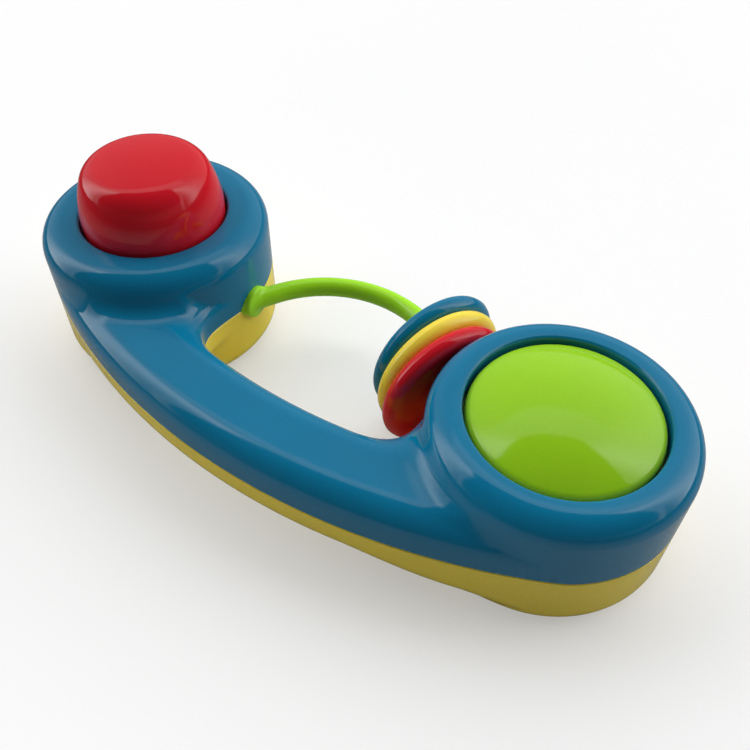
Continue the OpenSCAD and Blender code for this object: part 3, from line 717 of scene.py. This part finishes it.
def rectangle_distance(box, r):
    x0, x1, y0, y1 = box

    def distance(p):
        qx = np.abs(p[:, 0] - (x0 + x1) / 2) - (x1 - x0) / 2 + r
        qy = np.abs(p[:, 1] - (y0 + y1) / 2) - (y1 - y0) / 2 + r
        return both(qx, qy) - r
    return distance


def round_cut(x, y, r):
    return lambda p: np.hypot(p[:, 0] - x, p[:, 1] - y) - r


def notch_cut(p):
    """The half tunnel for each stub of the rod, where it passes through a head's wall."""
    gap, along = stub_distance(p)
    return np.where(np.abs(along - STUB_TO_WALL) < TUNNEL_REACH, gap - TUNNEL_R, FAR_OFF)


def ring_steps(point, centre, profile):
    """Points at the same angle round centre as point, at each (radius, height) of the profile."""
    d = point[:2] - np.array(centre)
    d = d / np.linalg.norm(d)
    return [[centre[0] + d[0] * r, centre[1] + d[1] * r, z] for r, z in profile]


def seam_steps(point, normal, height):
    """Points across the shell's wall at a height, set in from its outer and inner faces."""
    flat = normal[:2] / np.linalg.norm(normal[:2])
    set_in = (SEAM_BEVEL, WALL - SEAM_BEVEL)
    return [[point[0] - flat[0] * by, point[1] - flat[1] * by, height] for by in set_in]


def well_profile(r):
    """Rounded rim, wall and lower edge of a button's well, as (radius, height) from the face down."""
    steps = 6
    turns = [math.pi / 2 * k / steps for k in range(steps + 1)]
    rim = [(r + RIM_R * (1 - math.sin(a)), BODY_H - RIM_R * (1 - math.cos(a))) for a in turns]
    return rim + [
        (r, WELL_BOTTOM + WELL_BEVEL), (r + WELL_BEVEL, WELL_BOTTOM),
        (r + WELL_WALL - WELL_BEVEL, WELL_BOTTOM), (r + WELL_WALL, WELL_BOTTOM + WELL_BEVEL),
    ]


def front_path(point, normal, tag):
    if tag & SEAM:
        return seam_steps(point, normal, MID_Z + SEAM_GAP)
    if tag & RED_WELL:
        return ring_steps(point, RED_HEAD, well_profile(RED_WELL_R))
    if tag & GREEN_WELL:
        return ring_steps(point, GREEN_HEAD, well_profile(GREEN_WELL_R))
    return []


DOOR_OUTLINE = round_rectangle(grown(DOOR_PLATE, DOOR_BEVEL), DOOR_CORNER_R + DOOR_BEVEL)
DOOR_EDGE = round_rectangle(DOOR_PLATE, DOOR_CORNER_R)
BOX_INSIDE = round_rectangle(CELL_BOX, BOX_CORNER_R)
BOX_OUTSIDE = round_rectangle(grown(CELL_BOX, BOX_WALL), BOX_OUTER_CORNER_R)


def rear_path(point, normal, tag):
    if tag & SEAM:
        return seam_steps(point, normal, MID_Z - SEAM_GAP)
    if tag & BORE:
        x, y, seat = min(BORES, key=lambda b: math.hypot(b[0] - point[0], b[1] - point[1]))
        profile = [(BORE_R, point[2] + BORE_BEVEL), (BORE_R, seat), (SHANK_HOLE_R, seat),
                   (SHANK_HOLE_R, BOSS_TOP), (BORE_R + BORE_BEVEL, BOSS_TOP)]
        return ring_steps(point, (x, y), profile)
    if tag & GRILLE:
        hole = min(GRILLE_HOLES, key=lambda h: math.hypot(h[0] - point[0], h[1] - point[1]))
        profile = [(GRILLE_HOLE_R, GRILLE_BEVEL), (GRILLE_HOLE_R, WALL - GRILLE_BEVEL)]
        return ring_steps(point, hole, profile)
    if tag & DOOR:
        n = min(range(len(DOOR_OUTLINE)), key=lambda k: math.dist(DOOR_OUTLINE[k], point[:2]))
        edge, inside, outside = DOOR_EDGE[n], BOX_INSIDE[n], BOX_OUTSIDE[n]
        return [[*edge, DOOR_BEVEL], [*edge, DOOR_RECESS], [*inside, DOOR_RECESS],
                [*inside, BOX_TOP], [*outside, BOX_TOP], [*outside, WALL]]
    return []


net_points, net_quads = surface_net(body_shape, NET_LOW, NET_HIGH, CELL)

front = Skin(body_shape, net_points, net_quads, CELL)
front.trim(lambda p: p[:, 2] - (MID_Z + SEAM_BEVEL), SEAM)
front.trim(notch_cut, NOTCH, (SEAM, MID_Z + SEAM_BEVEL))
front.trim(round_cut(*RED_HEAD, RED_WELL_R + WELL_WALL), RED_WELL)
front.trim(round_cut(*GREEN_HEAD, GREEN_WELL_R + WELL_WALL), GREEN_WELL)
points, faces, corners = front.thicken(WALL, front_path)
mesh_piece(
    "front_shell_moulding", points, faces, TEAL, "handset", ["front_shell"], 35, corners
)

door_hole = rectangle_distance(grown(DOOR_PLATE, DOOR_BEVEL), DOOR_CORNER_R + DOOR_BEVEL)
door_patch = rectangle_distance(grown(DOOR_PLATE, DOOR_PATCH_MARGIN), DOOR_PATCH_CORNER_R)


def in_grille(c):
    clear = all(math.hypot(c[0] - x, c[1] - y) > GRILLE_HOLE_R for x, y in GRILLE_HOLES)
    return clear and math.dist(c, RED_HEAD) < GRILLE_AREA_R


def round_door(c):
    spot = np.array([[c[0], c[1], 0.0]])
    return door_hole(spot)[0] > 0 and door_patch(spot)[0] < 0


rear = Skin(body_shape, net_points, net_quads, CELL)
rear.trim(lambda p: (MID_Z - SEAM_BEVEL) - p[:, 2], SEAM)
rear.trim(notch_cut, NOTCH, (SEAM, MID_Z - SEAM_BEVEL))
for x, y, _ in BORES:
    rear.trim(round_cut(x, y, BORE_R + BORE_BEVEL), BORE)
rear.trim(round_cut(*RED_HEAD, GRILLE_AREA_R), GRILLE_RIM)
rear.trim(door_patch, DOOR_RIM)
grille_rims = [(circle_points(x, y, GRILLE_HOLE_R + GRILLE_BEVEL, 20), GRILLE) for x, y in GRILLE_HOLES]
rear.patch(GRILLE_RIM, 0.0, grille_rims, in_grille)
rear.patch(DOOR_RIM, 0.0, [(DOOR_OUTLINE, DOOR)], round_door)
points, faces, corners = rear.thicken(WALL, rear_path)
mesh_piece(
    "rear_shell_moulding", points, faces, YELLOW, "handset", ["rear_shell"], 35, corners
)

# ---------------------------------------------------------------- turned pieces


def lathe(profile, segments, closed=True):
    """Points and faces of a (radius, height) outline turned about z. Points on the axis are shared."""
    points, rings = [], []
    for r, z in profile:
        if r < 1e-6:
            rings.append([len(points)] * segments)
            points.append([0, 0, z])
        else:
            rings.append(list(range(len(points), len(points) + segments)))
            points += [[x, y, z] for x, y in circle_points(0, 0, r, segments)]
    faces = []
    following = rings[1:] + rings[:1] if closed else rings[1:]
    for lower, upper in zip(rings, following):
        for k in range(segments):
            n = (k + 1) % segments
            quad = [lower[k], lower[n], upper[n], upper[k]]
            quad = [i for q, i in enumerate(quad) if i not in quad[:q]]
            if len(quad) > 2:
                faces.append(tuple(quad))
    return np.array(points, float), faces


def crown_outline(r, rise, sag, shoulder, side_r, inset):
    """Curved side, shoulder and dome of a button above the head's top face, from the side to the
    axis. shoulder and side_r are radii, and inset sets it all in."""
    steps = 14
    big = (r * r + sag * sag) / (2 * sag)
    centre = rise - big
    side = np.array([r - side_r, 0.0])
    between = np.array([0.0, centre]) - side
    span = math.hypot(*between)
    along = ((side_r - shoulder) ** 2 - (big - shoulder) ** 2 + span * span) / (2 * span)
    across = math.sqrt((side_r - shoulder) ** 2 - along * along)
    qr, qz = side + (along * between + across * np.array([-between[1], between[0]])) / span
    a0, a1 = math.atan2(qz, qr - side[0]), math.atan2(qz - centre, qr)
    small = shoulder - inset
    flank = [on_circle(side[0], 0.0, side_r - inset, a0 * i / steps) for i in range(steps) if a0 > 0]
    arc = [on_circle(qr, qz, small, a0 + (a1 - a0) * i / steps) for i in range(steps + 1)]
    top = [a1 + (math.pi / 2 - a1) * i / (2 * steps) for i in range(1, 2 * steps + 1)]
    dome = [on_circle(0.0, centre, big - inset, t) for t in top]
    dome[-1] = (0.0, dome[-1][1])
    return flank + arc + dome


STOP_TOP, STOP_BOTTOM = WELL_BOTTOM - 0.3, WELL_BOTTOM - 1.7
STOP_BEVEL, STOP_FILLET = 0.2, 0.15
BUTTON_WALL = 1.8


def button_piece(name, node, material, slot, centre, flange, r, **crown):
    """A hollow button: its crown, a straight skirt and the stop ring of radius flange at its foot."""
    outer = [(q, z + BODY_H) for q, z in crown_outline(r, **crown, inset=0)]
    inner = [(q, z + BODY_H) for q, z in crown_outline(r, **crown, inset=BUTTON_WALL)]
    skirt = [
        (r - BUTTON_WALL, STOP_BOTTOM),
        (flange - STOP_BEVEL, STOP_BOTTOM), (flange, STOP_BOTTOM + STOP_BEVEL),
        (flange, STOP_TOP - STOP_BEVEL), (flange - STOP_BEVEL, STOP_TOP),
        (r + STOP_FILLET, STOP_TOP), (r, STOP_TOP + STOP_FILLET),
    ]
    # A crown that starts at the head's top face needs a point under it.
    below_face = [(r, BODY_H - 2)] if outer[0][1] > BODY_H - 1 else []
    profile = skirt + below_face + outer + inner[::-1] + [(r - BUTTON_WALL, STOP_BOTTOM + 1)]
    points, faces = lathe(profile, 180)
    points += np.array([centre[0], centre[1], 0])
    mesh_piece(name, points, faces, material, node, [node], 32)


button_piece(
    "red_button_cap", "red_button", RED, "red_plastic", RED_HEAD,
    flange=17.5, r=15.65, rise=13.2, sag=2.1, shoulder=5.0, side_r=24.0,
)
button_piece(
    "green_button_cap", "green_button", GREEN, "green_plastic", GREEN_HEAD,
    flange=19.6, r=17.8, rise=4.0, sag=5.2, shoulder=2.3, side_r=400.0,
)

# Discs: half their thickness, radius, hole, the hole's rounded edge, the height of the mould line
# on the rim, and the depth of the dished faces
DISC_HALF, DISC_R, DISC_HOLE_R, DISC_EDGE_R, DISC_LINE, DISC_DISH = 1.95, 15.0, 5.0, 1.2, 0.05, 0.3
# A disc's axis: its azimuth from +X, and its angle from upright
DISC_TURN, DISC_LEAN = math.radians(158), math.radians(90 - 3.5)


def disc_piece(name, node, material):
    """A thin disc with a full round rim, a faint mould line on it, slightly dished faces and a
    rounded hole."""
    rim = DISC_R - DISC_HALF - DISC_LINE
    profile = []
    for k in range(31):
        a = math.radians(-90 + 6 * k)
        line = DISC_LINE if k == 15 else 0
        profile.append((rim + DISC_HALF * math.cos(a) + line, DISC_HALF * math.sin(a)))
    lip = DISC_HOLE_R + DISC_EDGE_R
    face = [
        (rim - 0.9, DISC_HALF - 0.04),
        (rim - 1.8, DISC_HALF - DISC_DISH * 0.6),
        (rim - 2.8, DISC_HALF - DISC_DISH),
        (lip + 1.6, DISC_HALF - DISC_DISH),
        (lip + 0.8, DISC_HALF - DISC_DISH * 0.5),
    ]
    turns = [math.radians(15 * k) for k in range(7)]
    ring = [
        (lip - DISC_EDGE_R * math.sin(a), DISC_HALF - DISC_EDGE_R + DISC_EDGE_R * math.cos(a)) for a in turns
    ]
    upper = face + ring
    profile += upper + [(q, -z) for q, z in reversed(upper)]
    points, faces = lathe(profile, 120)
    turn = Matrix.Rotation(DISC_TURN, 3, "Z") @ Matrix.Rotation(DISC_LEAN, 3, "Y")
    points = points @ np.array(turn).T + node_centre(node)
    mesh_piece(name, points, faces, material, node, [node], 40)


disc_piece("blue_disc_moulding", "blue_disc", TEAL)
disc_piece("yellow_disc_moulding", "yellow_disc", YELLOW)
disc_piece("red_disc_moulding", "red_disc", RED)

rod_points, rod_quads = surface_net(rod_shape, ROD_NET_LOW, ROD_NET_HIGH, ROD_CELL, 3)
mesh_piece(
    "grab_rod_moulding", rod_points, rod_quads, ROD_GREEN, "handset", ["grab_rod"], 40
)

COIL_R, COIL_WIRE_R = 5.6, 0.4
# Turns at each end that lie almost on each other, and how far apart in wire radii
COIL_CLOSED_TURNS, COIL_CLOSED_PITCH = 0.9, 2.05


def coil_piece(name, node, centre, turns):
    """Compression spring with closed ends that flattens towards its seat as its button goes down."""
    per_turn, sides = 24, 10
    total = turns * per_turn
    z0, z1 = (corner[2] for corner in node_box(node))
    low, high = z0 + COIL_WIRE_R, z1 - COIL_WIRE_R
    dead = COIL_CLOSED_TURNS
    dead_rise = COIL_CLOSED_PITCH * COIL_WIRE_R * dead
    path = []
    for i in range(total + 1):
        u = i / per_turn
        if u < dead:
            z = low + dead_rise * u / dead
        elif u > turns - dead:
            z = high - dead_rise * (turns - u) / dead
        else:
            z = low + dead_rise + (high - low - 2 * dead_rise) * (u - dead) / (turns - 2 * dead)
        path.append([*on_circle(0, 0, COIL_R, 2 * math.pi * u), z])
    path = np.array(path)
    around = [2 * math.pi * j / sides for j in range(sides)]
    points = []
    for i, q in enumerate(path):
        t = path[min(i + 1, total)] - path[max(i - 1, 0)]
        t = t / np.linalg.norm(t)
        side = np.cross(t, [0, 0, 1])
        side = side / np.linalg.norm(side)
        rise = np.cross(side, t)
        points += [q + COIL_WIRE_R * (math.cos(a) * side + math.sin(a) * rise) for a in around]
    faces = [tuple(range(sides)), tuple(total * sides + j for j in reversed(range(sides)))]
    for i in range(total):
        for j in range(sides):
            k = (j + 1) % sides
            faces.append(((i + 1) * sides + j, (i + 1) * sides + k, i * sides + k, i * sides + j))
    points = np.array(points) + np.array([centre[0], centre[1], 0])
    piece = mesh_piece(name, points, faces, SPRING_STEEL, "handset", [node], 50)
    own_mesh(piece)


coil_piece("red_spring_coil", "red_button_spring", RED_HEAD, 7)
coil_piece("green_spring_coil", "green_button_spring", GREEN_HEAD, 5)

# ---------------------------------------------------------------- CAD nodes that stay
NODE_LOOKS = [
    (BOARD_GREEN, "circuit_board", ["main_board", "switch_board"]),
    (SCREW_STEEL, "screw_steel", [
        "main_board_screws", "switch_board_screws", "battery_door_screw", "head_screws", "handle_screws",
    ]),
    (RESIN, "black_plastic", [
        "sound_chip", "board_components", "red_button_switch", "green_button_switch",
    ]),
    (PRESSED_STEEL, "pressed_steel", ["speaker_frame", "battery_cells"]),
    (PAPER, "cone_paper", ["speaker_cone"]),
    (FERRITE, "magnet", ["speaker_magnet"]),
    (SPRING_STEEL, "spring_steel", ["positive_contact", "negative_contact"]),
    (YELLOW, "yellow_plastic", ["battery_door"]),
    (VINYL_RED, "wire_cover", ["battery_wires"]),
    (VINYL, "wire_cover", ["switch_wires", "speaker_wires"]),
]
for material, slot, nodes in NODE_LOOKS:
    for node in nodes:
        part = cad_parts[node]
        part.data.materials.clear()
        part.data.materials.append(material)

# ---------------------------------------------------------------- floor and light
# The floor's colour to bounced light, and in reflections, near and far: FLOOR_FADE is in metres.
FLOOR_BOUNCE, FLOOR_NEAR, FLOOR_FAR = (0.55, 0.55, 0.55), (0.36, 0.36, 0.36), (0.05, 0.05, 0.05)
FLOOR_FADE = (0.085, 0.24)
# Light of its own that the camera sees
FLOOR_LIFT = 0.36
FLOOR_Z, FLOOR_R = -0.03, 4000.0


def floor_material():
    """A pale floor that throws back less light than it shows, as a small table does, and is
    clear from below."""
    s = Shader("floor")
    clouds = s.spread(s.noise(3, 3))
    shown = s.mix(clouds, (0.60, 0.60, 0.605), (0.62, 0.62, 0.62))
    ray = s.nodes.new("ShaderNodeLightPath")
    geometry = s.nodes.new("ShaderNodeNewGeometry")
    away = s.nodes.new("ShaderNodeVectorMath")
    away.operation = "LENGTH"
    s.links.new(geometry.outputs["Position"], away.inputs[0])
    mirrored = s.mix(s.ranged(away.outputs["Value"], *FLOOR_FADE, 0, 1), FLOOR_NEAR, FLOOR_FAR)
    bounce = s.mix(ray.outputs["Is Glossy Ray"], FLOOR_BOUNCE, mirrored)
    s.link(s.mix(ray.outputs["Is Camera Ray"], bounce, shown), "Base Color")
    s.link(s.ranged(ray.outputs["Is Camera Ray"], 0, 1, 0, FLOOR_LIFT), "Emission Strength")
    s.link(s.ranged(s.noise(40, 3), 0.3, 0.7, 0.75, 0.85), "Roughness")
    s.set(Specular_IOR_Level=0.0, Emission_Color=(1, 1, 1, 1))
    clear = s.nodes.new("ShaderNodeBsdfTransparent")
    either = s.nodes.new("ShaderNodeMixShader")
    below = s.calc(geometry.outputs["Backfacing"], ray.outputs["Transparent Depth"], "MAXIMUM")
    mixed = (s.ranged(below, 0, 1, 0, 1), s.bsdf.outputs["BSDF"], clear.outputs["BSDF"])
    for output, socket in zip(mixed, either.inputs):
        s.links.new(output, socket)
    s.links.new(either.outputs["Shader"], s.nodes["Material Output"].inputs["Surface"])
    return s.material


floor_mesh = bpy.data.meshes.new("floor")
floor_points, floor_faces = lathe([(FLOOR_R, FLOOR_Z), (0.0, FLOOR_Z)], 96, closed=False)
floor_mesh.from_pydata((floor_points * MM).tolist(), [], floor_faces)
floor_mesh.materials.append(floor_material())
floor = bpy.data.objects.new("floor", floor_mesh)
bpy.context.scene.collection.objects.link(floor)

# The studio, by azimuth (degrees from +Y towards +X) and elevation. Beyond the object stands a
# bright bay: a pale inside, a brighter band under its arched top and bright posts at both sides.
# Height of its arch and level of its inside, by azimuth
BAY_TOP = [
    (-180, 5), (-138, 10), (-130, 45), (-120, 58), (-105, 63), (-95, 67), (-80, 74), (-60, 77),
    (-35, 80), (0, 79), (25, 74), (45, 68), (55, 64), (65, 57), (73, 45), (82, 10), (180, 5),
]
BAY_INSIDE = [
    (-180, 0.0), (-136, 0.1), (-125, 1.2), (-115, 2.3), (-105, 2.3), (-97, 1.4), (-88, 0.5),
    (-60, 0.27), (-28, 0.30), (-5, 0.42), (15, 0.5), (26, 0.8), (38, 1.15), (47, 1.8), (54, 2.3),
    (61, 1.7), (68, 0.8), (75, 0.15), (180, 0.0),
]
# Level of the band by elevation from the arch, the azimuths that have it, and the arch's edge
BAY_BAND = [(-90, 0.0), (-27, 0.0), (-19, 0.9), (0, 0.9), (90, 0.9)]
BAY_SIDES = [(-180, 0.0), (-141, 0.0), (-135, 1.0), (80, 1.0), (86, 0.0), (180, 0.0)]
BAY_EDGE = [(-90, 1.0), (-2, 1.0), (1.5, 0.0), (90, 0.0)]
# Light everywhere else, to gloss and to matt light, and the bay's share in matt light
SHEEN_DIM, MATT_DIM, MATT_SCALE = 0.05, 0.11, 0.85
# Matt light also comes from the far side, and less of it from below.
FAR_SIDE = (-0.45, 0.865, -0.22)
FAR_GLOW = [(-1, 0.0), (-0.12, 0.0), (0.12, 1.35), (1, 1.35)]
UNDER_DIM = [(-90, 0.3), (-14, 0.3), (-3, 1.0), (90, 1.0)]
# What the camera sees behind the floor
BACKDROP = (0.95, 0.95, 0.955, 1)

world = bpy.data.worlds.new("studio")
world.use_nodes = True
bpy.context.scene.world = world
tree = world.node_tree
tree.nodes.clear()


def feed(value, socket):
    """Links a node's output to the socket, or sets the socket to a number or a colour."""
    if isinstance(value, bpy.types.NodeSocket):
        tree.links.new(value, socket)
    else:
        socket.default_value = value


def world_math(how, a, b=0.0, c=0.0):
    node = tree.nodes.new("ShaderNodeMath")
    node.operation = how
    for value, socket in zip((a, b, c), node.inputs):
        feed(value, socket)
    return node.outputs[0]


def ramp_over(value, low, high, stops):
    """Level by a value between low and high, straight between the stops."""
    top = max(level for _, level in stops)
    ramp = tree.nodes.new("ShaderNodeValToRGB")
    while len(ramp.color_ramp.elements) < len(stops):
        ramp.color_ramp.elements.new(0.5)
    for element, (at, level) in zip(ramp.color_ramp.elements, stops):
        element.position = (at - low) / (high - low)
        element.color = (level / top, level / top, level / top, 1)
    tree.links.new(world_math("DIVIDE", world_math("SUBTRACT", value, low), high - low), ramp.inputs["Fac"])
    return world_math("MULTIPLY", ramp.outputs["Color"], top)


split = tree.nodes.new("ShaderNodeSeparateXYZ")
direction = tree.nodes.new("ShaderNodeTexCoord").outputs["Generated"]
tree.links.new(direction, split.inputs[0])
turn = world_math("DEGREES", world_math("ARCTAN2", split.outputs["X"], split.outputs["Y"]))
lift = world_math("DEGREES", world_math("ARCSINE", split.outputs["Z"]))
under_top = world_math("SUBTRACT", lift, ramp_over(turn, -180, 180, BAY_TOP))
band_level = ramp_over(under_top, -90, 90, BAY_BAND)
band = world_math("MULTIPLY", band_level, ramp_over(turn, -180, 180, BAY_SIDES))
bay = world_math("MAXIMUM", ramp_over(turn, -180, 180, BAY_INSIDE), band)
bay = world_math("MULTIPLY", bay, ramp_over(under_top, -90, 90, BAY_EDGE))
ray = tree.nodes.new("ShaderNodeLightPath")


def background(color):
    node = tree.nodes.new("ShaderNodeBackground")
    feed(color, node.inputs["Color"])
    return node.outputs["Background"]


def by_ray(kind, other, this):
    node = tree.nodes.new("ShaderNodeMixShader")
    for output, socket in zip((ray.outputs[kind], other, this), node.inputs):
        tree.links.new(output, socket)
    return node.outputs["Shader"]


sheen_light = background(world_math("ADD", bay, SHEEN_DIM))
far = tree.nodes.new("ShaderNodeVectorMath")
far.operation = "DOT_PRODUCT"
far.inputs[1].default_value = FAR_SIDE
tree.links.new(direction, far.inputs[0])
glow = world_math("ADD", ramp_over(far.outputs["Value"], -1, 1, FAR_GLOW), MATT_DIM)
matt = world_math("MULTIPLY_ADD", bay, MATT_SCALE, glow)
matt_light = background(world_math("MULTIPLY", matt, ramp_over(lift, -90, 90, UNDER_DIM)))
light = by_ray("Is Camera Ray", by_ray("Is Glossy Ray", matt_light, sheen_light), background(BACKDROP))
tree.links.new(light, tree.nodes.new("ShaderNodeOutputWorld").inputs["Surface"])

bpy.context.scene.view_settings.view_transform = "Standard"
bpy.context.scene.view_settings.exposure = 0.0
